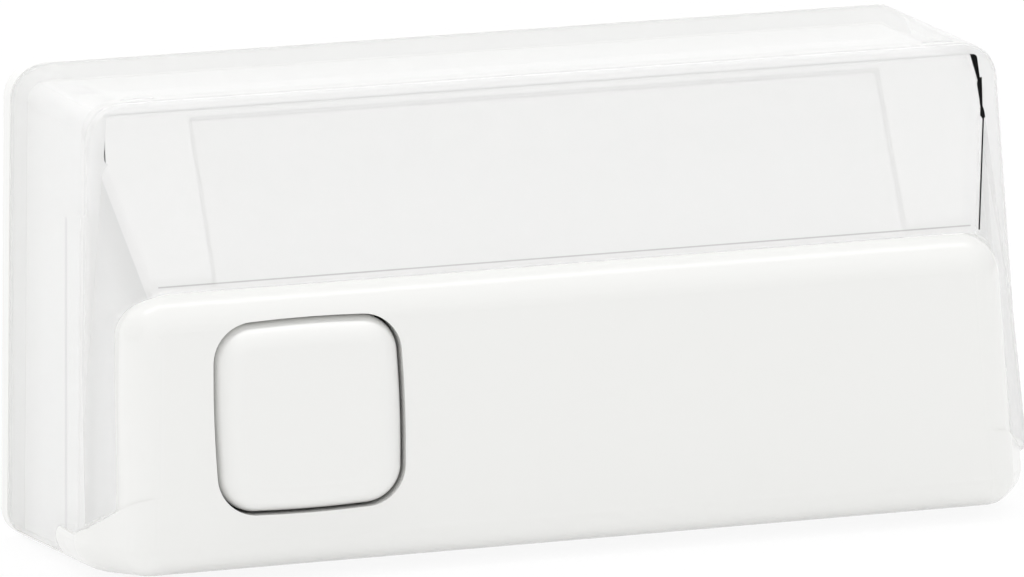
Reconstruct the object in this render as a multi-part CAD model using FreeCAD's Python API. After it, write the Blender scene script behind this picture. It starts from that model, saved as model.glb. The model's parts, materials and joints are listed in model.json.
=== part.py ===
"""Doorbell push button: a white moulded body with a square push key, and a clear hood with a name window.

All sizes are in millimetres. A place is given as x to the right, depth out from the wall and height above
the bottom edge. The row frame has its origin in the middle of the back face, with +Y into the wall.
"""
import FreeCAD
import Part
import math
import os

# Body outline
HEIGHT = 40.3
TOP_WIDTH = 81.7
SIDE_FLARE = 0.048
SIDE_DRAFT = 0.022
TOP_FALL = 0.026
BOTTOM_FALL = 0.036
BODY_DEPTH = 32.2
RIM_SETBACK = 5.7
RIM_DEPTH = BODY_DEPTH - RIM_SETBACK
CORNER_RADIUS = 3.25
LOW_CORNER_RADIUS = 2.6
PLATE_THICKNESS = 2.2
PANEL_SHARE = 0.5881
PANEL_TOP = PANEL_SHARE * HEIGHT

# Clear hood
COVER_WALL = 1.5
COVER_GAP = 0.2
RIM_EDGE_RADIUS = 0.5
RECESS_RADIUS = 0.4
WINDOW_EDGE_RADIUS = 1.2
WINDOW_TOP_SETBACK = 2.0
WINDOW_TOP_DEPTH = RIM_DEPTH - WINDOW_TOP_SETBACK
WINDOW_FOOT_SETBACK = 0.52
WINDOW_FOOT_DEPTH = BODY_DEPTH - WINDOW_FOOT_SETBACK
WINDOW_DROP = 1.7
WINDOW_TOP_HEIGHT = HEIGHT - WINDOW_DROP
SEAM_GAP = 0.25
WINDOW_FOOT_HEIGHT = PANEL_TOP + SEAM_GAP
FLANK_HALF_WIDTH = 39.05
FLANK_DROP = 6.05
FLANK_HEIGHT = HEIGHT - FLANK_DROP
FLANK_TURN = 0.723
FLANK_FLARE = 0.115
DIMPLE_SPACING = 71.0
DIMPLE_LENGTH = 3.0
DIMPLE_WIDTH = 1.2
DIMPLE_SINK = 0.3
DIMPLE_SETBACK = 1.5

# White front housing
HOUSING_WALL = 1.6
BOTTOM_WALL = 1.5
PANEL_TOP_WIDTH = 77.5
PANEL_WALL = 2.0
PANEL_EDGE_RADIUS = 3.0
PANEL_CORNER_RADIUS = 3.8
LEDGE_HEIGHT = 0.8
LEDGE_OVERLAP = 0.75
SHOULDER_LENGTH = 8.6
SHOULDER_BACK_DEPTH = RIM_DEPTH - SHOULDER_LENGTH
SHOULDER_HEIGHT = 2.9
SHOULDER_RADIUS = 1.5
SHOULDER_GAP = 0.12
SHOULDER_BEND = 2.8
SHOULDER_BEND_DEPTH = RIM_DEPTH - SHOULDER_BEND
SHOULDER_RISE = 0.33
SHOULDER_FRONT_RISE = 0.53
FOOT_FRONT_WIDTH = 77.5
FOOT_TURN = 0.515
FOOT_EDGE_RADIUS = 2.8
FOOT_SIDE_RADIUS = 8.0
RAIL_SETBACK = 5.7
RAIL_DEPTH = RIM_DEPTH - RAIL_SETBACK
RAIL_WIDTH = 3.2
RAIL_PROUD = 0.6
RAIL_LOW = 5.0
RAIL_DROP = 10.7
RAIL_HIGH = HEIGHT - RAIL_DROP

# Name card and its tray
LIGHT_LENGTH = 40.0
LIGHT_TO_SCREW = 6.0
SCREW_SPACING = LIGHT_LENGTH + 2 * LIGHT_TO_SCREW
SCREW_TO_CARD_END = 4.5
CARD_LENGTH = SCREW_SPACING + 2 * SCREW_TO_CARD_END
CARD_THICKNESS = 0.35
CARD_DROP = 0.6
CARD_FOOT_GAP = 0.71
CARD_CLEARANCE = 0.1
TRAY_GAP = 0.35
TRAY_RECESS = 0.4
LIGHT_MARGIN = 3.2
LIGHT_CLEARANCE = 0.15
LIGHT_FLANGE = 1.5
LIGHT_FLANGE_THICKNESS = 1.0

# Push key
KEY_X = -23.4
KEY_TOP_MARGIN = 2.6
KEY_FOOT_MARGIN = 4.8
KEY_SIZE = PANEL_TOP - KEY_TOP_MARGIN - KEY_FOOT_MARGIN
KEY_HEIGHT = KEY_FOOT_MARGIN + KEY_SIZE / 2
KEY_CORNER_RADIUS = 3.3
KEY_BULGE = 0.3
KEY_EDGE_RADIUS = 2.2
KEY_PROUD = 0.8
KEY_GAP = 0.17
KEY_WALL = 1.4
KEY_LENGTH = 8.0
KEY_TRAVEL = 2.0
FLANGE_REACH = 0.8
FLANGE_THICKNESS = 1.0
FLANGE_GAP = 0.2
SLEEVE_WALL = 1.5
STEM_RADIUS = 1.6
STEM_CLEARANCE = 0.2

# Switch
TOWER_SHARE = 0.6211
TOWER_TOP_DEPTH = TOWER_SHARE * BODY_DEPTH
TOWER_TOP_WALL = 1.5
TOWER_HALF_LENGTH = 6.5
TOWER_HALF_WIDTH = 4.8
CHANNEL_HALF_WIDTH = 3.9
BRIDGE_HEADROOM = 2.3
STRIP_THICKNESS = 0.5
STRIP_WIDTH = 2.4
STRIP_OFFSET = 2.6
TIP_RADIUS = 1.0
TIP_HEIGHT = 0.6
TIP_CLEARANCE = 0.05
BRIDGE_THICKNESS = 0.6
BRIDGE_WIDTH = 3.4
BRIDGE_PIN_RADIUS = 1.0
BRIDGE_PIN_STICKOUT = 0.3
PIN_CLEARANCE = 0.03
SPRING_RADIUS = 3.2
SPRING_WIRE = 0.6
SPRING_TURNS = 5.0
SPRING_SEAT_GAP = 0.05

# Terminals
SHELF_END_X = -3.5
SHELF_HALF_WIDTH = 7.5
TERMINAL_X = -9.0
TERMINAL_OFFSET = 3.9
CLAMP_SIZE = 6.0
CLAMP_THICKNESS = 0.9
TERMINAL_SCREW_RADIUS = 1.5
TERMINAL_TIP_DEPTH = 5.65
TERMINAL_HEAD_RADIUS = 2.5
TERMINAL_HEAD_HEIGHT = 1.5

# Lamp
LAMP_DROP = 10.3
LAMP_HEIGHT = HEIGHT - LAMP_DROP
LAMP_CLEARANCE = 1.75
LAMP_LENGTH = 31.0
LAMP_RADIUS = 3.0
LAMP_CAP_LENGTH = 6.0
LAMP_CAP_WALL = 0.1
LAMP_CLIP_X = 13.0
LAMP_STRIP_THICKNESS = 0.4
LAMP_STRIP_WIDTH = 3.0
CLIP_CLEARANCE = 0.05
CLIP_REACH = 1.6
POST_HALF_LENGTH = 2.2
POST_HALF_WIDTH = 4.5
LINK_RUN_DROP = 5.35

# Housing screws
SCREW_DROP = 8.3
SCREW_HEIGHT = HEIGHT - SCREW_DROP
SCREW_SEAT_SETBACK = 3.5
SCREW_SEAT_DEPTH = WINDOW_TOP_DEPTH - SCREW_SEAT_SETBACK
SCREW_GRIP = 7.0
SCREW_JOINT_DEPTH = SCREW_SEAT_DEPTH - SCREW_GRIP
SCREW_TIP_DEPTH = 6.0
SCREW_RADIUS = 1.4
SCREW_HEAD_RADIUS = 2.6
SCREW_HEAD_HEIGHT = 1.7
SCREW_CLEARANCE = 0.2
SCREW_THREAD_CLEARANCE = 0.03
HOUSING_BOSS_RADIUS = 4.3
PLATE_BOSS_RADIUS = 3.4
SLOT_WIDTH = 0.8
SLOT_SINK = 0.7

# Back plate
UPSTAND_GAP = 0.2
UPSTAND_WALL = 1.3
UPSTAND_DEPTH = 7.0
WALL_HOLE_SPACING = 60.0
WALL_HOLE_RISE = 11.2
WALL_HOLE_HEIGHT = KEY_HEIGHT + WALL_HOLE_RISE
WALL_HOLE_RADIUS = 2.1
WALL_HOLE_PAD_RADIUS = 4.4
WALL_HOLE_PAD_HEIGHT = 0.6
SEAL_INSET = 2.6
SEAL_WIDTH = 2.2
SEAL_THICKNESS = 1.0
ENTRY_X = 22.5
ENTRY_HEIGHT = 12.5
ENTRY_RADIUS = 4.5
GROMMET_BORE_RADIUS = 2.5
GROMMET_FLANGE = 1.2
GROMMET_FLANGE_THICKNESS = 1.2

# Space for cutting tools
SPAN = 200.0
PAST = 1.0


def at(x, depth, height):
    """A point in the row frame."""
    return FreeCAD.Vector(x, -depth, height - HEIGHT / 2)


OUT = FreeCAD.Vector(0, -1, 0)


def box(x0, x1, depth0, depth1, height0, height1):
    """A box between two values of x, depth and height."""
    return Part.makeBox(x1 - x0, depth1 - depth0, height1 - height0, at(x0, depth1, height0))


def rod(x, height, radius, depth0, depth1):
    """A round bar that stands out from the wall."""
    return Part.makeCylinder(radius, depth1 - depth0, at(x, depth0, height), OUT)


def rod_along_x(x0, x1, radius, depth, height):
    """A round bar that lies along x."""
    return Part.makeCylinder(radius, x1 - x0, at(x0, depth, height), FreeCAD.Vector(1, 0, 0))


def flat_solid(near, far):
    """A solid with flat faces between two polygons with matching corners."""
    outlines = [Part.makePolygon(ring + [ring[0]]) for ring in (near, far)]
    return Part.makeLoft(outlines, True, True)


def trimmed(solid, point, normal):
    """The solid without what lies past a plane."""
    cutter = Part.makeBox(SPAN, SPAN, SPAN, FreeCAD.Vector(-SPAN / 2, -SPAN / 2, 0))
    turn = FreeCAD.Rotation(FreeCAD.Vector(0, 0, 1), normal)
    cutter.Placement = FreeCAD.Placement(point, turn).multiply(cutter.Placement)
    return solid.cut(cutter)


def rounded(solid, radius, chosen):
    """The solid with a fillet on each edge that the test picks."""
    return solid.makeFillet(radius, [edge for edge in solid.Edges if chosen(edge)])


def runs_outward(edge):
    """True for an edge that runs mostly in depth."""
    size = edge.BoundBox
    return size.YLength > 2 * max(size.XLength, size.ZLength)


def runs_upward(edge):
    """True for an edge that runs mostly in height."""
    size = edge.BoundBox
    return size.ZLength > 2 * max(size.XLength, size.YLength)


def half_width(depth, height, inset=0.0):
    """Half the width of the body at a depth and height."""
    return TOP_WIDTH / 2 - SIDE_DRAFT * depth + SIDE_FLARE * (HEIGHT - height) - inset


def top_height(depth, inset=0.0):
    """Height of the body's top face at a depth."""
    return HEIGHT - TOP_FALL * depth - inset


def bottom_height(depth, inset=0.0):
    """Height of the body's bottom face at a depth."""
    return inset - BOTTOM_FALL * (BODY_DEPTH - depth)


def body_section(depth, inset, rise):
    """The four corners of the body's section at a depth, its lower side raised from the bottom face."""
    low = bottom_height(depth, rise)
    high = top_height(depth, inset)
    wide = half_width(depth, low, inset)
    narrow = half_width(depth, high, inset)
    return [at(-wide, depth, low), at(wide, depth, low), at(narrow, depth, high), at(-narrow, depth, high)]


def body_block(depth0, depth1, inset=0.0, rise=0.0):
    """The tapered body between two depths, inside the outline by an inset."""
    return flat_solid(body_section(depth0, inset, rise), body_section(depth1, inset, rise))


def with_round_corners(block):
    """A body block with its four corners rounded, the lower two less."""
    block = rounded(block, CORNER_RADIUS, lambda e: runs_outward(e) and e.BoundBox.ZMin > 0)
    return rounded(block, LOW_CORNER_RADIUS, lambda e: runs_outward(e) and e.BoundBox.ZMax < 0)


def window_lean():
    """Angle between the name window and the upright, in radians."""
    return math.atan2(WINDOW_FOOT_DEPTH - WINDOW_TOP_DEPTH, WINDOW_TOP_HEIGHT - WINDOW_FOOT_HEIGHT)


def window_normal():
    """Direction that the name window faces."""
    return FreeCAD.Vector(0, -math.cos(window_lean()), math.sin(window_lean()))


def window_length():
    """Length of the name window down its slope."""
    return (WINDOW_TOP_HEIGHT - WINDOW_FOOT_HEIGHT) / math.cos(window_lean())


def window_slab(x0, x1, up0, up1, out0, out1):
    """A box on the window plane: up along the slope and out along its normal, from the window's top edge."""
    slab = Part.makeBox(x1 - x0, up1 - up0, out1 - out0, FreeCAD.Vector(x0, up0, out0))
    turn = FreeCAD.Rotation(FreeCAD.Vector(1, 0, 0), 90 - math.degrees(window_lean()))
    slab.Placement = FreeCAD.Placement(at(0, WINDOW_TOP_DEPTH, WINDOW_TOP_HEIGHT), turn)
    return slab


def behind_window(solid, sink):
    """The solid without what lies in front of a plane that is sunk behind the window."""
    normal = window_normal()
    point = at(0, WINDOW_TOP_DEPTH, WINDOW_TOP_HEIGHT) - normal * sink
    return trimmed(solid, point, normal)


def inside_flanks(solid, inset):
    """The solid without what lies outside the hood's two slanted flanks."""
    for side in (-1, 1):
        normal = FreeCAD.Vector(side, -FLANK_TURN, FLANK_FLARE)
        normal.normalize()
        point = at(side * FLANK_HALF_WIDTH, RIM_DEPTH, FLANK_HEIGHT) - normal * inset
        solid = trimmed(solid, point, normal)
    return solid


def hood_space(inset, sink, rise, depth0=0.0):
    """The space under the hood, inset from its sides and top and sunk behind its window."""
    block = body_block(depth0, BODY_DEPTH + PAST, inset, rise)
    return behind_window(inside_flanks(block, inset), sink)


def panel_half_width(height):
    """Half the width of the front panel at a height."""
    return PANEL_TOP_WIDTH / 2 + SIDE_FLARE * (PANEL_TOP - height)


def panel_block(depth0, depth1, low, high, inset=0.0):
    """The front panel's tapered block."""
    wide = panel_half_width(low) - inset
    narrow = panel_half_width(high) - inset
    near = [at(-wide, depth0, low), at(wide, depth0, low), at(narrow, depth0, high), at(-narrow, depth0, high)]
    far = [at(-wide, depth1, low), at(wide, depth1, low), at(narrow, depth1, high), at(-narrow, depth1, high)]
    return flat_solid(near, far)


def shoulder_space(gap=0.0):
    """What lies under the line where the hood ends, seen from the side."""
    back = SHOULDER_BACK_DEPTH - gap
    under = bottom_height(-PAST, -PAST)
    low_at_wall = bottom_height(-PAST, LEDGE_HEIGHT + gap)
    low = bottom_height(back, LEDGE_HEIGHT + gap)
    bend = SHOULDER_HEIGHT + gap
    end = BODY_DEPTH + PAST
    radius = SHOULDER_RADIUS + gap
    under_rim = bend + SHOULDER_RISE * SHOULDER_BEND
    tip = under_rim + SHOULDER_FRONT_RISE * (end - RIM_DEPTH)
    x = -SPAN / 2
    arc_middle = at(x, back + radius * (1 - math.sqrt(0.5)), bend - radius * (1 - math.sqrt(0.5)))
    edges = [
        Part.makeLine(at(x, -PAST, under), at(x, -PAST, low_at_wall)),
        Part.makeLine(at(x, -PAST, low_at_wall), at(x, back, low)),
        Part.makeLine(at(x, back, low), at(x, back, bend - radius)),
        Part.Arc(at(x, back, bend - radius), arc_middle, at(x, back + radius, bend)).toShape(),
        Part.makeLine(at(x, back + radius, bend), at(x, SHOULDER_BEND_DEPTH, bend)),
        Part.makeLine(at(x, SHOULDER_BEND_DEPTH, bend), at(x, RIM_DEPTH, under_rim)),
        Part.makeLine(at(x, RIM_DEPTH, under_rim), at(x, end, tip)),
        Part.makeLine(at(x, end, tip), at(x, end, under)),
        Part.makeLine(at(x, end, under), at(x, -PAST, under)),
    ]
    return Part.Face(Part.Wire(edges)).extrude(FreeCAD.Vector(SPAN, 0, 0))


def key_prism(half, radius, depth0, depth1):
    """A square prism with bowed sides and round corners, centred on the push key."""
    corner = half - KEY_BULGE
    turns = [(-corner, -corner), (corner, -corner), (corner, corner), (-corner, corner)]
    middles = [(0, -half), (half, 0), (0, half), (-half, 0)]
    sides = []
    for i in range(4):
        start, middle, end = [at(KEY_X + x, depth0, KEY_HEIGHT + z) for x, z in (turns[i], middles[i], turns[i - 3])]
        sides.append(Part.Arc(start, middle, end).toShape())
    prism = Part.Face(Part.Wire(sides)).extrude(OUT * (depth1 - depth0))
    return rounded(prism, radius, runs_outward)


def rails(clearance=0.0):
    """The guide rails on both sides of the housing, or the room for them in the hood."""
    depth0 = RAIL_DEPTH - clearance
    depth1 = RAIL_DEPTH + RAIL_WIDTH + clearance
    low = RAIL_LOW if clearance == 0 else -SPAN / 2
    high = RAIL_HIGH + clearance
    inset = COVER_WALL + COVER_GAP - RAIL_PROUD - clearance
    outer = body_block(depth0, depth1, inset, -PAST)
    return outer.common(box(-SPAN / 2, SPAN / 2, depth0, depth1, low, high))


def clear_cover():
    """The clear hood: one moulding with a top, two sides, a rim, slanted flanks and the name window."""
    back = PLATE_THICKNESS + COVER_GAP
    shell = with_round_corners(body_block(back, RIM_DEPTH))
    on_rim = lambda e: abs(e.BoundBox.YMax + RIM_DEPTH) < 0.01
    shell = rounded(shell, RIM_EDGE_RADIUS, on_rim)
    recess_side = FreeCAD.Vector(1, 0, FLANK_FLARE)
    recess = box(-SPAN / 2, SPAN / 2, 0, SPAN, 0, WINDOW_TOP_HEIGHT)
    for side in (-1, 1):
        normal = FreeCAD.Vector(side * recess_side.x, 0, recess_side.z)
        normal.normalize()
        recess = trimmed(recess, at(side * FLANK_HALF_WIDTH, RIM_DEPTH, FLANK_HEIGHT), normal)
    recess = recess.cut(behind_window(box(-SPAN, SPAN, -SPAN, SPAN, -SPAN, SPAN), 0))
    recess = rounded(recess, RECESS_RADIUS, borders_window)
    nose = hood_space(0, 0, 0, RIM_DEPTH - CORNER_RADIUS)
    nose = rounded(nose, WINDOW_EDGE_RADIUS, beside_window)
    low_nose = box(-SPAN / 2, SPAN / 2, 0, SPAN, 0, top_height(RIM_DEPTH, CORNER_RADIUS))
    hood = shell.cut(recess).fuse(nose.common(low_nose)).removeSplitter()
    inside = hood_space(COVER_WALL, COVER_WALL, -PAST)
    inside_radius = CORNER_RADIUS - COVER_WALL
    inside = rounded(inside, inside_radius, lambda e: runs_outward(e) and e.BoundBox.ZMin > 0)
    hood = hood.cut(inside)
    opening = panel_block(0, BODY_DEPTH + PAST, -PAST, WINDOW_FOOT_HEIGHT, -COVER_GAP)
    hood = hood.cut(rounded(opening, PANEL_CORNER_RADIUS + COVER_GAP, at_panel_top))
    hood = hood.cut(shoulder_space(SHOULDER_GAP))
    hood = hood.cut(rails(COVER_GAP))
    for side in (-1, 1):
        hood = hood.cut(dimple(side * DIMPLE_SPACING / 2))
    return hood


def beside_window(edge):
    """True for an upper edge where the window's plane meets one of the slanted flanks."""
    size = edge.BoundBox
    leans = size.ZLength < 4 * size.YLength and size.YLength < size.ZLength
    return leans and size.ZMin > 0


def borders_window(edge):
    """True for an edge of the hood's recess that lies on the window or at the ends of its roof."""
    size = edge.BoundBox
    near = max(abs(size.XMin), abs(size.XMax)) < SPAN / 4
    on_window = size.YMin > -SPAN / 2
    under_roof = size.ZMax > at(0, 0, WINDOW_TOP_HEIGHT).z - 0.01
    return near and under_roof and (on_window or runs_outward(edge))


def at_panel_top(edge):
    """True for an outward edge at one of the front panel's upper corners."""
    return runs_outward(edge) and edge.BoundBox.ZMin > at(0, 0, PANEL_TOP / 2).z


def dimple(x):
    """A shallow oval hollow in the hood's top, by its front rim."""
    depth = RIM_DEPTH - DIMPLE_SETBACK
    ball = Part.makeSphere(1.0)
    scale = FreeCAD.Matrix()
    scale.scale(DIMPLE_LENGTH / 2, DIMPLE_WIDTH / 2, DIMPLE_SINK)
    oval = ball.transformGeometry(scale)
    oval.translate(at(x, depth, top_height(depth)))
    return oval


def front_panel():
    """The panel that stands forward between the hood's flanks, with soft edges."""
    panel = panel_block(PLATE_THICKNESS, BODY_DEPTH, LOW_CORNER_RADIUS, PANEL_TOP)
    panel = rounded(panel, PANEL_CORNER_RADIUS, at_panel_top)
    front = -BODY_DEPTH
    bottom = at(0, 0, LOW_CORNER_RADIUS).z
    on_front = lambda e: abs(e.BoundBox.YMax - front) < 0.01 and e.BoundBox.ZMax > bottom + 0.1
    return rounded(panel, PANEL_EDGE_RADIUS, on_front)


def foot():
    """The low foot that comes out under the hood's ends, and the ledge behind it."""
    block = body_block(PLATE_THICKNESS, BODY_DEPTH)
    for side in (-1, 1):
        normal = FreeCAD.Vector(side, -FOOT_TURN, SIDE_FLARE)
        normal.normalize()
        block = trimmed(block, at(side * FOOT_FRONT_WIDTH / 2, BODY_DEPTH, SHOULDER_HEIGHT), normal)
    front = -BODY_DEPTH
    back = -PLATE_THICKNESS
    turned = lambda e: runs_upward(e) and front + 0.1 < e.BoundBox.YMin and e.BoundBox.YMax < back - 0.1
    block = rounded(block, FOOT_SIDE_RADIUS, turned)
    corners = lambda e: runs_upward(e) and abs(e.BoundBox.YMin - front) < 0.01
    block = rounded(block, FOOT_EDGE_RADIUS, corners)
    bottom = -HEIGHT / 2
    low = lambda e: e.BoundBox.ZMax < bottom + 0.01 and abs(e.BoundBox.YMin - back) > 0.01
    block = rounded(block, LOW_CORNER_RADIUS, low)
    return block.common(shoulder_space())


def screw_places():
    """The x of each housing screw."""
    return (-SCREW_SPACING / 2, SCREW_SPACING / 2)


def tray_face():
    """How far the tray's face lies behind the window's outer face."""
    return COVER_WALL + TRAY_GAP


def tray_floor():
    """How far the card's seat lies behind the window's outer face."""
    return tray_face() + TRAY_RECESS


def tray_back():
    """How far the tray's inner face lies behind the window's outer face."""
    return tray_floor() + HOUSING_WALL


def key_front():
    """Depth of the push key's face."""
    return BODY_DEPTH + KEY_PROUD


def key_back():
    """Depth of the push key's rear edge."""
    return key_front() - KEY_LENGTH


def front_housing():
    """The white front: panel, foot, sloping card tray and skirts, moulded as one open shell."""
    inset = COVER_WALL + COVER_GAP
    core = hood_space(inset, tray_face(), LEDGE_HEIGHT * LEDGE_OVERLAP, PLATE_THICKNESS)
    core_radius = CORNER_RADIUS - inset
    core = rounded(core, core_radius, lambda e: runs_outward(e) and e.BoundBox.ZMin > 0)
    core = core.common(box(-SPAN / 2, SPAN / 2, 0, BODY_DEPTH - PANEL_EDGE_RADIUS, -SPAN / 2, SPAN / 2))
    body = core.fuse([front_panel(), foot(), rails()]).removeSplitter()
    body = body.cut(housing_hollow())
    inner = inset + HOUSING_WALL
    for x in screw_places():
        boss = rod(x, SCREW_HEIGHT, HOUSING_BOSS_RADIUS, SCREW_JOINT_DEPTH, BODY_DEPTH)
        boss = boss.common(hood_space(inner - PAST / 2, tray_floor(), 0))
        body = body.fuse(boss)
    sleeve_half = KEY_SIZE / 2 + KEY_GAP + SLEEVE_WALL
    sleeve_back = key_back() + FLANGE_THICKNESS + FLANGE_GAP
    sleeve = key_prism(sleeve_half, KEY_CORNER_RADIUS + SLEEVE_WALL, sleeve_back, BODY_DEPTH - PANEL_WALL)
    body = body.fuse(sleeve)
    opening_half = KEY_SIZE / 2 + KEY_GAP
    body = body.cut(key_prism(opening_half, KEY_CORNER_RADIUS + KEY_GAP, sleeve_back - PAST, BODY_DEPTH + PAST))
    body = body.cut(card_seat())
    body = body.cut(light_opening())
    for x in screw_places():
        body = body.cut(rod(x, SCREW_HEIGHT, SCREW_HEAD_RADIUS + SCREW_CLEARANCE, SCREW_SEAT_DEPTH, SPAN))
        body = body.cut(rod(x, SCREW_HEIGHT, SCREW_RADIUS + SCREW_CLEARANCE, 0, SPAN))
    return body.removeSplitter()


def housing_hollow():
    """The space inside the white front, open at the back."""
    inset = COVER_WALL + COVER_GAP + HOUSING_WALL
    core = hood_space(inset, tray_back(), BOTTOM_WALL, PLATE_THICKNESS - PAST)
    inner_panel = panel_block(PLATE_THICKNESS - PAST, BODY_DEPTH - PANEL_WALL, BOTTOM_WALL,
                              PANEL_TOP - PANEL_WALL, PANEL_WALL)
    below_tray = box(-SPAN / 2, SPAN / 2, -PAST, BODY_DEPTH - PANEL_WALL, -SPAN / 2, SPAN / 2)
    return core.common(below_tray).fuse(inner_panel).removeSplitter()


def card_foot():
    """Place of the card's lower edge on the slope, measured up from the window's top edge."""
    return CARD_FOOT_GAP - window_length()


def light_top():
    """Place of the light opening's upper edge on the slope."""
    return -CARD_DROP - LIGHT_MARGIN


def light_foot():
    """Place of the light opening's lower edge on the slope."""
    return card_foot() + LIGHT_MARGIN


def card_seat():
    """The shallow seat in the tray that the name card lies in."""
    half = CARD_LENGTH / 2 + CARD_CLEARANCE
    top = -CARD_DROP + CARD_CLEARANCE
    low = card_foot() - CARD_CLEARANCE
    return window_slab(-half, half, low, top, -tray_floor(), -tray_face() + PAST)


def light_opening():
    """The opening in the tray that lets light through to the card."""
    half = LIGHT_LENGTH / 2
    return window_slab(-half, half, light_foot(), light_top(), -tray_back() - PAST, -tray_face())


def name_card():
    """The blank name card on its seat."""
    half = CARD_LENGTH / 2
    seat = -tray_floor()
    return window_slab(-half, half, card_foot(), -CARD_DROP, seat, seat + CARD_THICKNESS)


def light_diffuser():
    """The milky plate that fills the light opening, with a flange behind the tray."""
    half = LIGHT_LENGTH / 2 - LIGHT_CLEARANCE
    top = light_top() - LIGHT_CLEARANCE
    low = light_foot() + LIGHT_CLEARANCE
    plug = window_slab(-half, half, low, top, -tray_back(), -tray_floor())
    flange_half = LIGHT_LENGTH / 2 + LIGHT_FLANGE
    flange_top = light_top() + LIGHT_FLANGE
    flange_low = light_foot() - LIGHT_FLANGE
    flange = window_slab(-flange_half, flange_half, flange_low, flange_top,
                         -tray_back() - LIGHT_FLANGE_THICKNESS, -tray_back())
    return plug.fuse(flange).removeSplitter()


def bridge_front():
    """Depth of the contact bridge's front face, where it meets the stem's shoulder."""
    return TOWER_TOP_DEPTH - TOWER_TOP_WALL - BRIDGE_HEADROOM


def bridge_back():
    """Depth of the contact bridge's rear face."""
    return bridge_front() - BRIDGE_THICKNESS


def contact_back():
    """Depth of the fixed contacts' rear face, on the switch block."""
    return bridge_back() - TIP_CLEARANCE - KEY_TRAVEL - 2 * TIP_HEIGHT - STRIP_THICKNESS


def push_button():
    """The square push key: a hollow cap with a stop flange and a stem for the contact bridge."""
    cap = key_prism(KEY_SIZE / 2, KEY_CORNER_RADIUS, key_back(), key_front())
    front = -key_front()
    cap = rounded(cap, KEY_EDGE_RADIUS, lambda e: abs(e.BoundBox.YMax - front) < 0.01)
    flange_half = KEY_SIZE / 2 + FLANGE_REACH
    flange = key_prism(flange_half, KEY_CORNER_RADIUS + FLANGE_REACH, key_back(), key_back() + FLANGE_THICKNESS)
    hollow_half = KEY_SIZE / 2 - KEY_WALL
    hollow = key_prism(hollow_half, KEY_CORNER_RADIUS - KEY_WALL, key_back() - PAST, key_front() - KEY_WALL)
    stem = rod(KEY_X, KEY_HEIGHT, STEM_RADIUS, bridge_front(), key_front() - KEY_WALL / 2)
    pin = rod(KEY_X, KEY_HEIGHT, BRIDGE_PIN_RADIUS, bridge_back() - BRIDGE_PIN_STICKOUT, bridge_front())
    return cap.fuse(flange).cut(hollow).fuse([stem, pin]).removeSplitter()


def return_spring():
    """The coil spring between the switch block and the key's cap."""
    low = TOWER_TOP_DEPTH + SPRING_WIRE / 2 + SPRING_SEAT_GAP
    high = key_front() - KEY_WALL - SPRING_WIRE / 2 - SPRING_SEAT_GAP
    pitch = (high - low) / SPRING_TURNS
    helix = Part.makeHelix(pitch, high - low, SPRING_RADIUS)
    circle = Part.Circle(FreeCAD.Vector(SPRING_RADIUS, 0, 0), FreeCAD.Vector(0, 1, 0), SPRING_WIRE / 2)
    coil = Part.Wire(helix).makePipeShell([Part.Wire(circle.toShape())], True, True)
    coil.Placement = FreeCAD.Placement(at(KEY_X, low, KEY_HEIGHT), FreeCAD.Rotation(FreeCAD.Vector(0, 0, 1), OUT))
    return coil


def contact_bridge():
    """The brass bridge on the stem's end."""
    half = STRIP_OFFSET + TIP_RADIUS
    plate = box(KEY_X - BRIDGE_WIDTH / 2, KEY_X + BRIDGE_WIDTH / 2, bridge_back(), bridge_front(),
                KEY_HEIGHT - half, KEY_HEIGHT + half)
    return plate.cut(rod(KEY_X, KEY_HEIGHT, BRIDGE_PIN_RADIUS + PIN_CLEARANCE, 0, SPAN))


def bridge_tip(side):
    """A silver contact tip under one end of the bridge."""
    return rod(KEY_X, KEY_HEIGHT + side * STRIP_OFFSET, TIP_RADIUS, bridge_back() - TIP_HEIGHT, bridge_back())


def fixed_tip(side):
    """A silver contact tip on a fixed contact strip."""
    seat = contact_back() + STRIP_THICKNESS
    return rod(KEY_X, KEY_HEIGHT + side * STRIP_OFFSET, TIP_RADIUS, seat, seat + TIP_HEIGHT)


def terminal_height(side):
    """Height of a terminal's screw."""
    return KEY_HEIGHT + side * TERMINAL_OFFSET


def fixed_contact(side):
    """A brass strip from under the bridge to its terminal pad."""
    centre = KEY_HEIGHT + side * STRIP_OFFSET
    front = contact_back() + STRIP_THICKNESS
    start = KEY_X - BRIDGE_WIDTH / 2
    strip = box(start, TERMINAL_X, contact_back(), front, centre - STRIP_WIDTH / 2, centre + STRIP_WIDTH / 2)
    middle = terminal_height(side)
    half = CLAMP_SIZE / 2
    pad = box(TERMINAL_X - half, TERMINAL_X + half, contact_back(), front, middle - half, middle + half)
    hole = rod(TERMINAL_X, middle, TERMINAL_SCREW_RADIUS + SCREW_CLEARANCE, 0, SPAN)
    return strip.fuse(pad).removeSplitter().cut(hole)


def link_back():
    """Depth of the lamp links' rear face, on the terminal pads."""
    return contact_back() + STRIP_THICKNESS


def link_front():
    """Depth of the lamp links' front face."""
    return link_back() + LAMP_STRIP_THICKNESS


def lamp_depth():
    """Depth of the lamp's axis."""
    return link_front() + LAMP_CLEARANCE + LAMP_CAP_WALL + LAMP_RADIUS


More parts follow.
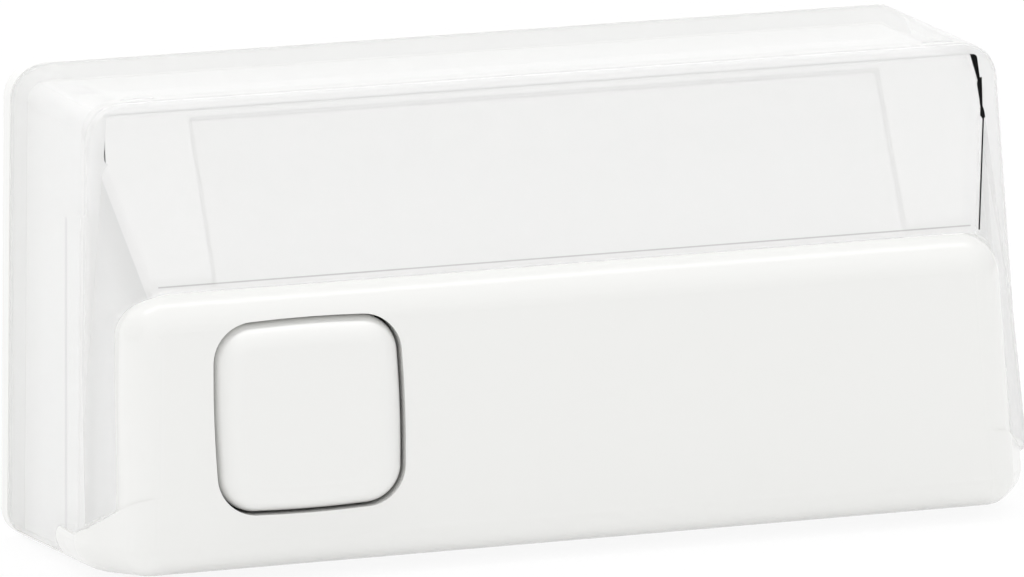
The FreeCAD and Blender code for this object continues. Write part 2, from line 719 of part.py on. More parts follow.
def lamp_link(side):
    """A brass strip from a terminal to the lamp, with two clip arms that hold the lamp's cap."""
    terminal = 1 if side < 0 else -1
    middle = terminal_height(terminal)
    half = CLAMP_SIZE / 2
    wide = LAMP_STRIP_WIDTH / 2
    x = side * LAMP_CLIP_X
    run_height = middle if side < 0 else KEY_HEIGHT - LINK_RUN_DROP
    pad = box(TERMINAL_X - half, TERMINAL_X + half, link_back(), link_front(), middle - half, middle + half)
    left = min(x - wide, TERMINAL_X)
    right = max(x + wide, TERMINAL_X)
    run = box(left, right, link_back(), link_front(), run_height - wide, run_height + wide)
    arm_inner = LAMP_RADIUS + LAMP_CAP_WALL + CLIP_CLEARANCE
    arm_outer = arm_inner + LAMP_STRIP_THICKNESS
    riser = box(x - wide, x + wide, link_back(), link_front(), run_height - wide, LAMP_HEIGHT + arm_outer)
    arms = []
    for edge in (-1, 1):
        low = LAMP_HEIGHT + min(edge * arm_inner, edge * arm_outer)
        high = LAMP_HEIGHT + max(edge * arm_inner, edge * arm_outer)
        arms.append(box(x - wide, x + wide, link_back(), lamp_depth() + CLIP_REACH, low, high))
    link = pad.fuse([run, riser] + arms).removeSplitter()
    return link.cut(rod(TERMINAL_X, middle, TERMINAL_SCREW_RADIUS + SCREW_CLEARANCE, 0, SPAN))


def terminal_clamp(side):
    """The clamp plate under a terminal screw's head."""
    middle = terminal_height(side)
    half = CLAMP_SIZE / 2
    back = link_front()
    plate = box(TERMINAL_X - half, TERMINAL_X + half, back, back + CLAMP_THICKNESS, middle - half, middle + half)
    return plate.cut(rod(TERMINAL_X, middle, TERMINAL_SCREW_RADIUS + SCREW_CLEARANCE, 0, SPAN))


def slotted_screw(x, height, tip, seat, radius, head_radius, head_height):
    """A screw with a slotted cheese head; its seat is the underside of the head."""
    shank = rod(x, height, radius, tip, seat)
    head = rod(x, height, head_radius, seat, seat + head_height)
    slot = box(x - head_radius - PAST, x + head_radius + PAST, seat + head_height - SLOT_SINK,
               seat + head_height + PAST, height - SLOT_WIDTH / 2, height + SLOT_WIDTH / 2)
    return shank.fuse(head).cut(slot).removeSplitter()


def terminal_screw(side):
    """A terminal's screw."""
    seat = link_front() + CLAMP_THICKNESS
    return slotted_screw(TERMINAL_X, terminal_height(side), TERMINAL_TIP_DEPTH, seat, TERMINAL_SCREW_RADIUS,
                         TERMINAL_HEAD_RADIUS, TERMINAL_HEAD_HEIGHT)


def housing_screw(x):
    """A screw that holds the white front to the back plate, hidden under the name card."""
    return slotted_screw(x, SCREW_HEIGHT, SCREW_TIP_DEPTH, SCREW_SEAT_DEPTH, SCREW_RADIUS,
                         SCREW_HEAD_RADIUS, SCREW_HEAD_HEIGHT)


def switch_block():
    """The insulating block: a tower over the contacts and a shelf for the terminals."""
    tower = box(KEY_X - TOWER_HALF_LENGTH, KEY_X + TOWER_HALF_LENGTH, PLATE_THICKNESS, TOWER_TOP_DEPTH,
                KEY_HEIGHT - TOWER_HALF_WIDTH, KEY_HEIGHT + TOWER_HALF_WIDTH)
    channel = box(-SPAN / 2, SPAN / 2, contact_back(), TOWER_TOP_DEPTH - TOWER_TOP_WALL,
                  KEY_HEIGHT - CHANNEL_HALF_WIDTH, KEY_HEIGHT + CHANNEL_HALF_WIDTH)
    tower = tower.cut(channel)
    shelf = box(KEY_X, SHELF_END_X, PLATE_THICKNESS, contact_back(),
                KEY_HEIGHT - SHELF_HALF_WIDTH, KEY_HEIGHT + SHELF_HALF_WIDTH)
    shelf = shelf.cut(box(-SPAN / 2, KEY_X + TOWER_HALF_LENGTH, 0, SPAN, -SPAN, SPAN))
    block = tower.fuse(shelf).removeSplitter()
    block = block.cut(rod(KEY_X, KEY_HEIGHT, STEM_RADIUS + STEM_CLEARANCE, contact_back(), SPAN))
    hole_start = TERMINAL_TIP_DEPTH - PAST / 2
    for side in (-1, 1):
        hole_radius = TERMINAL_SCREW_RADIUS + SCREW_THREAD_CLEARANCE
        block = block.cut(rod(TERMINAL_X, terminal_height(side), hole_radius, hole_start, SPAN))
    return block


def lamp_tube():
    """The lamp's glass tube, lying across behind the card."""
    half = LAMP_LENGTH / 2 - LAMP_CAP_LENGTH / 2
    return rod_along_x(-half, half, LAMP_RADIUS, lamp_depth(), LAMP_HEIGHT)


def lamp_cap(side):
    """A round metal cap over one end of the lamp's tube."""
    radius = LAMP_RADIUS + LAMP_CAP_WALL
    outer = side * LAMP_LENGTH / 2
    inner = side * (LAMP_LENGTH / 2 - LAMP_CAP_LENGTH)
    cap = rod_along_x(min(outer, inner), max(outer, inner), radius, lamp_depth(), LAMP_HEIGHT)
    end_edge = lambda e: abs(e.BoundBox.Center.x - outer) < 0.01 and e.BoundBox.ZLength > radius
    cap = rounded(cap, radius * 0.6, end_edge)
    return cap.cut(lamp_tube())


def back_plate():
    """The plate that is screwed to the wall, with its upstand, screw bosses and lamp posts."""
    plate = with_round_corners(body_block(0, PLATE_THICKNESS))
    inset = COVER_WALL + COVER_GAP + HOUSING_WALL + UPSTAND_GAP
    rise = BOTTOM_WALL + UPSTAND_GAP
    outer = body_block(PLATE_THICKNESS, UPSTAND_DEPTH, inset, rise)
    inner = body_block(PLATE_THICKNESS, UPSTAND_DEPTH + PAST, inset + UPSTAND_WALL, rise + UPSTAND_WALL)
    plate = plate.fuse(outer.cut(inner))
    for x in screw_places():
        plate = plate.fuse(rod(x, SCREW_HEIGHT, PLATE_BOSS_RADIUS, 0, SCREW_JOINT_DEPTH))
        hole_start = SCREW_TIP_DEPTH - PAST / 2
        plate = plate.cut(rod(x, SCREW_HEIGHT, SCREW_RADIUS + SCREW_THREAD_CLEARANCE, hole_start, SPAN))
    for side in (-1, 1):
        x = side * LAMP_CLIP_X
        post = box(x - POST_HALF_LENGTH, x + POST_HALF_LENGTH, 0, link_back(),
                   LAMP_HEIGHT - POST_HALF_WIDTH, LAMP_HEIGHT + POST_HALF_WIDTH)
        plate = plate.fuse(post)
        wall_x = side * WALL_HOLE_SPACING / 2
        pad_front = PLATE_THICKNESS + WALL_HOLE_PAD_HEIGHT
        plate = plate.fuse(rod(wall_x, WALL_HOLE_HEIGHT, WALL_HOLE_PAD_RADIUS, 0, pad_front))
    for side in (-1, 1):
        wall_x = side * WALL_HOLE_SPACING / 2
        plate = plate.cut(rod(wall_x, WALL_HOLE_HEIGHT, WALL_HOLE_RADIUS, -PAST, SPAN))
    plate = plate.cut(rod(ENTRY_X, ENTRY_HEIGHT, ENTRY_RADIUS, -PAST, SPAN))
    return plate.cut(seal_ring(PAST)).removeSplitter()


def seal_ring(behind=0.0):
    """The ring-shaped groove round the back of the plate, or the seal that fills it."""
    outer = body_block(-behind, SEAL_THICKNESS, SEAL_INSET, SEAL_INSET)
    outer = rounded(outer, CORNER_RADIUS - SEAL_INSET / 2, runs_outward)
    inset = SEAL_INSET + SEAL_WIDTH
    inner = body_block(-behind - PAST, SEAL_THICKNESS + PAST, inset, inset)
    return outer.cut(inner)


def cable_grommet():
    """The rubber grommet in the cable entry, with a flange inside the plate."""
    body = rod(ENTRY_X, ENTRY_HEIGHT, ENTRY_RADIUS, 0, PLATE_THICKNESS)
    flange_front = PLATE_THICKNESS + GROMMET_FLANGE_THICKNESS
    flange = rod(ENTRY_X, ENTRY_HEIGHT, ENTRY_RADIUS + GROMMET_FLANGE, PLATE_THICKNESS, flange_front)
    return body.fuse(flange).cut(rod(ENTRY_X, ENTRY_HEIGHT, GROMMET_BORE_RADIUS, -PAST, SPAN)).removeSplitter()


def pieces():
    """Every piece by its name."""
    left, right = screw_places()
    return {
        "back_plate": back_plate(),
        "rear_seal": seal_ring(),
        "cable_grommet": cable_grommet(),
        "front_housing": front_housing(),
        "clear_cover": clear_cover(),
        "name_card": name_card(),
        "light_diffuser": light_diffuser(),
        "push_button": push_button(),
        "return_spring": return_spring(),
        "contact_bridge": contact_bridge(),
        "bridge_tip_upper": bridge_tip(1),
        "bridge_tip_lower": bridge_tip(-1),
        "switch_block": switch_block(),
        "fixed_contact_upper": fixed_contact(1),
        "fixed_contact_lower": fixed_contact(-1),
        "fixed_tip_upper": fixed_tip(1),
        "fixed_tip_lower": fixed_tip(-1),
        "lamp_link_left": lamp_link(-1),
        "lamp_link_right": lamp_link(1),
        "terminal_clamp_upper": terminal_clamp(1),
        "terminal_clamp_lower": terminal_clamp(-1),
        "terminal_screw_upper": terminal_screw(1),
        "terminal_screw_lower": terminal_screw(-1),
        "lamp_tube": lamp_tube(),
        "lamp_cap_left": lamp_cap(-1),
        "lamp_cap_right": lamp_cap(1),
        "housing_screw_left": housing_screw(left),
        "housing_screw_right": housing_screw(right),
    }


os.makedirs("parts", exist_ok=True)
for name, shape in pieces().items():
    if len(shape.Solids) != 1 or not shape.isValid():
        print("check", name, len(shape.Solids), shape.isValid())
    shape.exportStep("parts/" + name + ".step")
    print(name, round(shape.Volume, 2))
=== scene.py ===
"""Looks of the doorbell push button: its materials, a plain white set, soft light and the camera."""

import bpy
import functools
import json
import math
from mathutils import Matrix, Vector


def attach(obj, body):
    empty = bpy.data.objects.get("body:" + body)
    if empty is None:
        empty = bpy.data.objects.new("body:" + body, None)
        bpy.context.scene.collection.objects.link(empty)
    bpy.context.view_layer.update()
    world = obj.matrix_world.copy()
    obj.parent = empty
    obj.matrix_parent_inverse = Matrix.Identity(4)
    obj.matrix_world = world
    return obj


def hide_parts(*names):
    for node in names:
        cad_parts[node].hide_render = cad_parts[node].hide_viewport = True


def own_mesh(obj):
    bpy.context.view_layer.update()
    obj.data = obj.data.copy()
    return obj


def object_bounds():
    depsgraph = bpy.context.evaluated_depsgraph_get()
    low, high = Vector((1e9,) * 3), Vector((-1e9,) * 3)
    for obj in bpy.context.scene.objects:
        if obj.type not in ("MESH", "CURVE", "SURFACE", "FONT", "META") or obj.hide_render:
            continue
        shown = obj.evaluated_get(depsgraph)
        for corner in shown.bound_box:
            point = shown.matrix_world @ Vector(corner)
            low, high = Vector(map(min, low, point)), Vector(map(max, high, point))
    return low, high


MM = 0.001

# Camera: where the photograph was taken from
VIEW_TARGET = Vector((0, -15, -0.15)) * MM
VIEW_TURN = 16.445
VIEW_RISE = 8.737
VIEW_ROLL = 1.874
VIEW_DISTANCE = 830.1 * MM
VIEW_LENS = 338.7
SENSOR_WIDTH = 36.0
VIEW_SHIFT_X = -0.0033
VIEW_SHIFT_Y = -0.0055
NEAR_CLIP = 0.01

# Sky: its light from the front and from the back, its share at the sides, and its level where a ray sees it
SKY_LIGHT = 0.87
SKY_BACK_LIGHT = 1.13
BACK_START = -0.3
BACK_END = 0.6
SKY_LEFT_SHARE = 0.86
SKY_RIGHT_SHARE = 0.7
SIDE_START = 0.5
SIDE_END = 0.97
SKY_SEEN = 1.0
SKY_SIDE_SEEN = 0.35

# Lamp straight above
STRIP_POWER = 2.0
STRIP_LENGTH = 1.0
STRIP_WIDTH = 0.16
STRIP_PLACE = (0.0, -0.07, 0.75)

# Set
FLOOR_SIZE = 6.0
FLOOR_COLOUR = (0.97, 0.97, 0.97, 1.0)
FLOOR_ROUGHNESS = 0.9
FLOOR_GLOSS = 0.1
FLOOR_GLOW = 0.92

# Clear hood: how much passes straight through, and how much of the rest is glass and not haze
HOOD_OPEN = 0.4
HOOD_GLASS = 0.55
HOOD_TINT = (0.975, 0.975, 0.975, 1.0)
HOOD_COLOUR = (0.93, 0.93, 0.93, 1.0)

# Clear glass of the lamp
GLASS_TINT = (0.96, 0.95, 0.92, 1.0)
GLASS_COLOUR = (0.98, 0.97, 0.94, 1.0)

# How strongly each material bends light
PLASTIC_IOR = 1.49
GLASS_IOR = 1.45

# Painted shade on the clear hood: near-black painted on its outer faces, standing in for how its thick walls
# look dark when seen along their length; only where a face is slanted enough
PAINTED_SHADE_COLOUR = (0.012, 0.012, 0.012, 1.0)
SLANT = (0.25, 1.0)

# Painted shade: near-black painted on both ends of the window's recess and on the lower tip of the right one,
# half as dark on the left end
END_ACROSS = (38.2 * MM, 39.2 * MM)
END_DEPTH = (-27.0 * MM, -24.2 * MM)
END_HEIGHT = (12.9 * MM, 18.5 * MM)
END_TURN = (0.15, 1.1)
END_LEFT_SHADE = 0.5
END_LEFT_BLEND = 1.0 * MM
TIP_ACROSS = (38.7 * MM, 38.97 * MM)
TIP_DEPTH = (-26.7 * MM, -25.9 * MM)
TIP_HEIGHT = (13.9 * MM, 16.4 * MM)

# Painted shade: near-black painted along the window's slanted side edges
EDGE_ACROSS = (35.0 * MM, 39.2 * MM)
EDGE_DEPTH = (-33.0 * MM, -25.9 * MM)
EDGE_HEIGHT = (3.95 * MM, 15.5 * MM)
EDGE_TURN = (0.56, 0.71)

# Painted shade: a dark line painted along the crease at the window's top, and another along the seam at its
# foot
LINE_ACROSS = (-1.0 * MM, 38.7 * MM)
LINE_DEPTH = (-25.4 * MM, -24.0 * MM)
LINE_HEIGHT = (18.22 * MM, 18.36 * MM)
LINE_SHADE = 0.8
SEAM_ACROSS = (-1.0 * MM, 35.9 * MM)
SEAM_DEPTH = (-31.9 * MM, -31.0 * MM)
SEAM_HEIGHT = (4.33 * MM, 4.45 * MM)
SEAM_SHADE = 0.3

# Painted shade: grey painted on the flanks, deepest along the window's slanted edge and fading away from it
FLANK_DEPTH = (-33.0 * MM, -26.45 * MM)
FLANK_HEIGHT = (-21.0 * MM, 15.5 * MM)
FLANK_TURN = (0.76, 0.85)
FLANK_LEAN = -0.435
FLANK_START = -32.75 * MM
FLANK_END = -30.15 * MM
FLANK_SHADE = 0.125
FLANK_LEAST_SHADE = 0.045

# Painted shade: a dark line painted on the outer sides where the rail lies behind the wall
RAIL_ACROSS = (39.0 * MM, 44.0 * MM)
RAIL_HEIGHT = (-21.0 * MM, 9.3 * MM)
RAIL_TURN = (0.99, 1.01)
RAIL_LEAN = -0.0268
RAIL_PLACE = (-21.2 * MM, -20.4 * MM)
RAIL_SHADE = 0.09

# Surface detail: cycles for each metre, and heights in metres
GLOSS_SCALE = 220.0
GRAIN_SCALE = 2600.0
PLASTIC_GRAIN = 0.001 * MM
METAL_GRAIN_SCALE = 3000.0
METAL_GRAIN = 0.004 * MM
FINE_GRAIN = 0.003 * MM
PAPER_GRAIN_SCALE = 3500.0
PAPER_GRAIN = 0.01 * MM
RUBBER_GRAIN_SCALE = 2200.0
RUBBER_GRAIN = 0.02 * MM
NOISE_LOW = 0.3
NOISE_HIGH = 0.7


def linear(red, green, blue):
    """A colour given as it looks on screen, from 0 to 255, as the shader's numbers."""
    return tuple(((c / 255 + 0.055) / 1.055) ** 2.4 for c in (red, green, blue)) + (1.0,)


def new_material(name):
    """An empty material with its Principled shader."""
    material = bpy.data.materials.new(name)
    material.use_nodes = True
    tree = material.node_tree
    return material, tree, tree.nodes["Principled BSDF"]


def add(tree, kind, **values):
    """A node with some of its inputs set."""
    node = tree.nodes.new(kind)
    for key, value in values.items():
        node.inputs[key].default_value = value
    return node


def feed(tree, value, socket):
    """Put a number or another node's output into a socket."""
    if isinstance(value, bpy.types.NodeSocket):
        tree.links.new(value, socket)
    else:
        socket.default_value = value


def reckon(tree, operation, *values):
    """A sum done on numbers and on other nodes' outputs."""
    node = tree.nodes.new("ShaderNodeMath")
    node.operation = operation
    for value, socket in zip(values, node.inputs):
        feed(tree, value, socket)
    return node.outputs["Value"]


def product(tree, *values):
    """All the values multiplied."""
    return functools.reduce(lambda one, other: reckon(tree, "MULTIPLY", one, other), values)


def highest(tree, *values):
    """The highest of the values."""
    return functools.reduce(lambda one, other: reckon(tree, "MAXIMUM", one, other), values)


def within(tree, value, limits):
    """One where a value lies between two limits."""
    low, high = limits
    return reckon(tree, "COMPARE", value, (low + high) / 2, (high - low) / 2)


def map_value(tree, source, low, high, start=0.0, end=1.0):
    """A value mapped to a range, and held at its ends."""
    node = tree.nodes.new("ShaderNodeMapRange")
    node.inputs["From Min"].default_value = start
    node.inputs["From Max"].default_value = end
    node.inputs["To Min"].default_value = low
    node.inputs["To Max"].default_value = high
    tree.links.new(source, node.inputs["Value"])
    return node.outputs["Result"]


def mix_values(tree, factor, low, high):
    """A value between two others."""
    node = tree.nodes.new("ShaderNodeMix")
    node.data_type = "FLOAT"
    feed(tree, factor, node.inputs["Factor"])
    feed(tree, low, node.inputs["A"])
    feed(tree, high, node.inputs["B"])
    return node.outputs["Result"]


def mix_shaders(tree, factor, first, second):
    """Two shaders mixed and shown on the surface."""
    mix = tree.nodes.new("ShaderNodeMixShader")
    tree.links.new(factor, mix.inputs["Fac"])
    tree.links.new(first, mix.inputs[1])
    tree.links.new(second, mix.inputs[2])
    tree.links.new(mix.outputs["Shader"], tree.nodes["Material Output"].inputs["Surface"])
    return mix.outputs["Shader"]


def axes_of(tree, vector):
    """A vector's three parts."""
    node = tree.nodes.new("ShaderNodeSeparateXYZ")
    tree.links.new(vector, node.inputs["Vector"])
    return node.outputs


def noise(tree, scale, detail=3.0):
    """Noise that is fixed to the object, in cycles for each metre."""
    place = tree.nodes.new("ShaderNodeTexCoord")
    node = add(tree, "ShaderNodeTexNoise", Scale=scale, Detail=detail, Roughness=0.5)
    tree.links.new(place.outputs["Object"], node.inputs["Vector"])
    return node.outputs["Fac"]


def vary_colour(tree, shader, dark, light, scale):
    """A soft mottle between two close colours."""
    mix = tree.nodes.new("ShaderNodeMix")
    mix.data_type = "RGBA"
    mix.inputs["A"].default_value = dark
    mix.inputs["B"].default_value = light
    tree.links.new(noise(tree, scale), mix.inputs["Factor"])
    tree.links.new(mix.outputs["Result"], shader.inputs["Base Color"])


def vary_roughness(tree, shader, low, high, scale):
    """A roughness that drifts a little over the surface."""
    drift = map_value(tree, noise(tree, scale), low, high, NOISE_LOW, NOISE_HIGH)
    tree.links.new(drift, shader.inputs["Roughness"])


def add_grain(tree, shader, scale, height):
    """A fine surface grain."""
    bump = add(tree, "ShaderNodeBump", Strength=1.0, Distance=height)
    tree.links.new(noise(tree, scale, 4.0), bump.inputs["Height"])
    tree.links.new(bump.outputs["Normal"], shader.inputs["Normal"])


def seen_white(tree):
    """One where a ray comes from the camera, a mirror or glass, and zero elsewhere."""
    path = tree.nodes.new("ShaderNodeLightPath").outputs
    return highest(tree, path["Is Camera Ray"], path["Is Glossy Ray"], path["Is Transmission Ray"])


def moulded_plastic(name, colour, low, high, gloss=0.5):
    """Satin moulded plastic with a fine grain and a gloss that drifts a little."""
    material, tree, shader = new_material(name)
    shader.inputs["Base Color"].default_value = colour
    shader.inputs["IOR"].default_value = PLASTIC_IOR
    shader.inputs["Specular IOR Level"].default_value = gloss
    vary_roughness(tree, shader, low, high, GLOSS_SCALE)
    add_grain(tree, shader, GRAIN_SCALE, PLASTIC_GRAIN)
    return material


def clear_plastic(name):
    """Clear moulded plastic that lets the lamps through to what it covers, with painted shade mixed onto its
    outer faces.
    """
    material, tree, shader = new_material(name)
    shader.inputs["Base Color"].default_value = HOOD_COLOUR
    shader.inputs["Transmission Weight"].default_value = HOOD_GLASS
    shader.inputs["IOR"].default_value = PLASTIC_IOR
    vary_roughness(tree, shader, 0.01, 0.03, 60.0)
    clear = open_to_lamps(tree, shader, HOOD_TINT, HOOD_OPEN)
    # Painted shade: a near-black diffuse mixed onto the hood's outer faces wherever the painted-shade masks
    # ask for it
    dark = add(tree, "ShaderNodeBsdfDiffuse", Color=PAINTED_SHADE_COLOUR)
    mix_shaders(tree, painted_shade(tree), clear, dark.outputs["BSDF"])
    return material


def open_to_lamps(tree, shader, tint, share):
    """Let rays from lamps and from lit surfaces pass straight through, and a share of all the others."""
    path = tree.nodes.new("ShaderNodeLightPath").outputs
    passing = add(tree, "ShaderNodeBsdfTransparent", Color=tint)
    opening = highest(tree, path["Is Shadow Ray"], path["Is Diffuse Ray"], share)
    return mix_shaders(tree, opening, shader.outputs["BSDF"], passing.outputs["BSDF"])


def hood_measures(tree):
    """Where a point of the hood lies and how its face is turned, with both sides of the hood alike."""
    place = tree.nodes.new("ShaderNodeTexCoord")
    axes = axes_of(tree, place.outputs["Object"])
    turn = axes_of(tree, place.outputs["Normal"])["X"]
    slant = add(tree, "ShaderNodeLayerWeight", Blend=0.5)
    return {
        "right": axes["X"],
        "across": reckon(tree, "ABSOLUTE", axes["X"]),
        "depth": axes["Y"],
        "height": axes["Z"],
        "turn": reckon(tree, "ABSOLUTE", turn),
        "slant": slant.outputs["Facing"],
        "from_edge": reckon(tree, "MULTIPLY_ADD", axes["Z"], FLANK_LEAN, axes["Y"]),
        "from_rail": reckon(tree, "MULTIPLY_ADD", axes["Z"], RAIL_LEAN, axes["Y"]),
    }


def where(tree, measures, **limits):
    """One where each named measure lies between its limits."""
    return product(tree, *[within(tree, measures[name], pair) for name, pair in limits.items()])


def painted_shade(tree):
    """How much painted shade each place of the hood gets: dark lines and greys painted on its outer faces,
    standing in for the dark look of its thick walls.
    """
    hood = hood_measures(tree)
    ends = product(
        tree,
        where(tree, hood, across=END_ACROSS, depth=END_DEPTH, height=END_HEIGHT, turn=END_TURN, slant=SLANT),
        map_value(tree, hood["right"], END_LEFT_SHADE, 1.0, -END_LEFT_BLEND, END_LEFT_BLEND),
    )
    tip = where(tree, hood, right=TIP_ACROSS, depth=TIP_DEPTH, height=TIP_HEIGHT)
    edge = where(tree, hood, across=EDGE_ACROSS, depth=EDGE_DEPTH, height=EDGE_HEIGHT,
                 turn=EDGE_TURN, slant=SLANT)
    line = where(tree, hood, across=LINE_ACROSS, depth=LINE_DEPTH, height=LINE_HEIGHT)
    seam = where(tree, hood, across=SEAM_ACROSS, depth=SEAM_DEPTH, height=SEAM_HEIGHT)
    flank = where(tree, hood, depth=FLANK_DEPTH, height=FLANK_HEIGHT, turn=FLANK_TURN)
    fade = map_value(tree, hood["from_edge"], FLANK_SHADE, FLANK_LEAST_SHADE, FLANK_START, FLANK_END)
    rail = where(tree, hood, across=RAIL_ACROSS, height=RAIL_HEIGHT, turn=RAIL_TURN, from_rail=RAIL_PLACE)
    # The deepest painted shade of all the masks, each scaled by how dark it is painted
    deepest_painted_shade = highest(
        tree, ends, tip, edge,
        product(tree, line, LINE_SHADE),
        product(tree, seam, SEAM_SHADE),
        product(tree, flank, fade),
        product(tree, rail, RAIL_SHADE),
    )
    inner = tree.nodes.new("ShaderNodeNewGeometry").outputs["Backfacing"]
    return product(tree, deepest_painted_shade, seen_white(tree), reckon(tree, "SUBTRACT", 1.0, inner))


def lamp_glass(name):
    """Thin clear glass of the lamp's tube."""
    material, tree, shader = new_material(name)
    shader.inputs["Base Color"].default_value = GLASS_COLOUR
    shader.inputs["Transmission Weight"].default_value = 1.0
    shader.inputs["IOR"].default_value = GLASS_IOR
    vary_roughness(tree, shader, 0.02, 0.06, 150.0)
    open_to_lamps(tree, shader, GLASS_TINT, 0.0)
    return material


def paper(name):
    """Matt white card with a faint fibre."""
    material, tree, shader = new_material(name)
    vary_colour(tree, shader, linear(233, 233, 231), linear(238, 238, 236), 700.0)
    vary_roughness(tree, shader, 0.7, 0.85, 500.0)
    add_grain(tree, shader, PAPER_GRAIN_SCALE, PAPER_GRAIN)
    return material


def milky_plastic(name):
    """Milky plastic that scatters light inside."""
    material, tree, shader = new_material(name)
    vary_colour(tree, shader, linear(238, 238, 235), linear(244, 244, 242), 120.0)
    vary_roughness(tree, shader, 0.4, 0.5, 300.0)
    shader.inputs["Subsurface Weight"].default_value = 0.4
    shader.inputs["Subsurface Radius"].default_value = (1.5 * MM, 1.5 * MM, 1.5 * MM)
    return material


def metal(name, dark, light, roughness, scale, grain):
    """Bare metal with a slight drift in colour and finish."""
    material, tree, shader = new_material(name)
    shader.inputs["Metallic"].default_value = 1.0
    vary_colour(tree, shader, dark, light, scale)
    vary_roughness(tree, shader, roughness[0], roughness[1], scale * 2)
    add_grain(tree, shader, METAL_GRAIN_SCALE, grain)
    return material


def rubber(name, dark, light):
    """Dull rubber with a soft grain."""
    material, tree, shader = new_material(name)
    vary_colour(tree, shader, dark, light, 400.0)
    vary_roughness(tree, shader, 0.75, 0.9, 300.0)
    add_grain(tree, shader, RUBBER_GRAIN_SCALE, RUBBER_GRAIN)
    return material


def make_materials():
    """A material for each slot of the record."""
    white = linear(239, 239, 237)
    return {
        "white_shell": moulded_plastic("white_shell", white, 0.15, 0.19),
        "white_key": moulded_plastic("white_key", white, 0.38, 0.44, gloss=1.0),
        "clear_hood": clear_plastic("clear_hood"),
        "milky_plastic": milky_plastic("milky_plastic"),
        "card": paper("card"),
        "seal_rubber": rubber("seal_rubber", linear(60, 60, 62), linear(78, 78, 80)),
        "grommet_rubber": rubber("grommet_rubber", linear(128, 128, 130), linear(146, 146, 148)),
        "block_plastic": moulded_plastic("block_plastic", linear(216, 212, 201), 0.4, 0.5),
        "contact_brass": metal("contact_brass", linear(196, 160, 88), linear(222, 190, 118),
                               (0.22, 0.38), 300.0, METAL_GRAIN),
        "contact_silver": metal("contact_silver", linear(205, 205, 203), linear(225, 225, 224),
                                (0.2, 0.3), 500.0, FINE_GRAIN),
        "clamp_steel": metal("clamp_steel", linear(176, 178, 182), linear(198, 200, 204),
                             (0.28, 0.42), 350.0, METAL_GRAIN),
        "screw_steel": metal("screw_steel", linear(170, 172, 178), linear(196, 198, 202),
                             (0.25, 0.4), 350.0, METAL_GRAIN),
        "spring_steel": metal("spring_steel", linear(160, 162, 166), linear(186, 188, 192),
                              (0.22, 0.35), 600.0, FINE_GRAIN),
        "lamp_glass": lamp_glass("lamp_glass"),
    }


def dress(piece, material):
    """Give a piece its material."""
    piece.data.materials.clear()
    piece.data.materials.append(material)


def dress_nodes(frame, materials):
    """Give each CAD node the material of its slot."""
    for row in frame["record"]["subparts"]:
        dress(frame["nodes"][row["node"]], materials[row["material_slot"]])


def squeeze_spring(frame, material):
    """The key's spring as a piece of its own, with its own mesh, hung on the base."""
    coil = bpy.data.objects.new("return_coil", frame["nodes"]["return_spring"].data.copy())
    bpy.context.scene.collection.objects.link(coil)
    dress(coil, material)
    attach(coil, "base")
    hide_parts("return_spring")
    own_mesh(coil)


def add_floor(low):
    """A plain pale floor under the object, white to the camera and still holding its shadow."""
    bpy.ops.mesh.primitive_plane_add(size=FLOOR_SIZE, location=(0, 0, low))
    floor = bpy.context.object
    floor.name = "floor"
    material, tree, shader = new_material("floor")
    shader.inputs["Base Color"].default_value = FLOOR_COLOUR
    shader.inputs["Roughness"].default_value = FLOOR_ROUGHNESS
    shader.inputs["Specular IOR Level"].default_value = FLOOR_GLOSS
    glow = add(tree, "ShaderNodeEmission", Color=(1, 1, 1, 1), Strength=1.0)
    share = product(tree, seen_white(tree), FLOOR_GLOW)
    mix_shaders(tree, share, shader.outputs["BSDF"], glow.outputs["Emission"])
    floor.data.materials.append(material)


def add_sky():
    """An even pale sky, a little darker to both sides, and plain white where the camera sees it."""
    world = bpy.data.worlds.new("sky")
    bpy.context.scene.world = world
    world.use_nodes = True
    tree = world.node_tree
    background = tree.nodes["Background"]
    background.inputs["Color"].default_value = (1, 1, 1, 1)
    axes = axes_of(tree, tree.nodes.new("ShaderNodeTexCoord").outputs["Generated"])
    light = product(
        tree,
        map_value(tree, axes["Y"], SKY_LIGHT, SKY_BACK_LIGHT, BACK_START, BACK_END),
        map_value(tree, axes["X"], SKY_LEFT_SHARE, 1.0, -SIDE_END, -SIDE_START),
        map_value(tree, axes["X"], 1.0, SKY_RIGHT_SHARE, SIDE_START, SIDE_END),
    )
    across = reckon(tree, "ABSOLUTE", axes["X"])
    seen = map_value(tree, across, SKY_SEEN, SKY_SIDE_SEEN, SIDE_START, SIDE_END)
    level = mix_values(tree, seen_white(tree), light, seen)
    camera_ray = tree.nodes.new("ShaderNodeLightPath").outputs["Is Camera Ray"]
    tree.links.new(mix_values(tree, camera_ray, level, SKY_SEEN), background.inputs["Strength"])


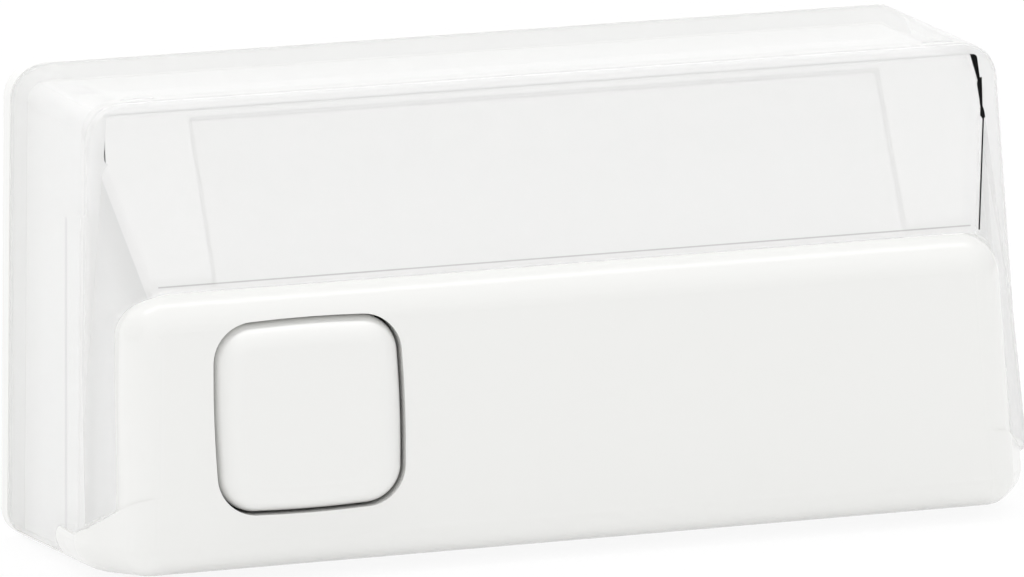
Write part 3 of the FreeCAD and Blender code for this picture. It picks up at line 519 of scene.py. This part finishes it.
def add_lamp():
    """A long soft lamp straight above, which draws the highlights along the upper edges."""
    data = bpy.data.lights.new("strip", "AREA")
    data.shape = "RECTANGLE"
    data.size = STRIP_LENGTH
    data.size_y = STRIP_WIDTH
    data.energy = STRIP_POWER
    lamp = bpy.data.objects.new("strip", data)
    bpy.context.scene.collection.objects.link(lamp)
    lamp.location = STRIP_PLACE


def add_camera():
    """The camera at the photograph's place, turned as the photograph is."""
    turn = math.radians(VIEW_TURN)
    rise = math.radians(VIEW_RISE)
    roll = math.radians(VIEW_ROLL)
    back = Vector((-math.sin(turn) * math.cos(rise), -math.cos(turn) * math.cos(rise), math.sin(rise)))
    right = Vector((math.cos(turn), -math.sin(turn), 0))
    up = back.cross(right)
    rolled_right = right * math.cos(roll) - up * math.sin(roll)
    rolled_up = right * math.sin(roll) + up * math.cos(roll)
    place = Matrix((rolled_right, rolled_up, back)).transposed().to_4x4()
    place.translation = VIEW_TARGET + back * VIEW_DISTANCE
    data = bpy.data.cameras.new("camera")
    data.sensor_width = SENSOR_WIDTH
    data.lens = VIEW_LENS
    data.shift_x = VIEW_SHIFT_X
    data.shift_y = VIEW_SHIFT_Y
    data.clip_start = NEAR_CLIP
    camera = bpy.data.objects.new("camera", data)
    bpy.context.scene.collection.objects.link(camera)
    camera.matrix_world = place
    bpy.context.scene.camera = camera


def plain(bounds):
    """A box as plain lists of numbers."""
    return [[float(c) for c in corner] for corner in bounds]


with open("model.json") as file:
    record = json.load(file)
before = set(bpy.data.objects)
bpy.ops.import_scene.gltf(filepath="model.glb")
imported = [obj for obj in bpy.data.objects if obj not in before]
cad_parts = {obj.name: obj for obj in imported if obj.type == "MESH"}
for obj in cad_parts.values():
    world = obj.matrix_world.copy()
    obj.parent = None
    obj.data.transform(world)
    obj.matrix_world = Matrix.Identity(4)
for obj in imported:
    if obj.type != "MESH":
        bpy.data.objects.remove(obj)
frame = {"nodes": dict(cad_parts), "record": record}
cad_box = plain(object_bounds())
bpy.context.scene.view_settings.view_transform = "Standard"
materials = make_materials()
dress_nodes(frame, materials)
squeeze_spring(frame, materials["spring_steel"])
add_floor(cad_box[0][2])
add_sky()
add_lamp()
add_camera()
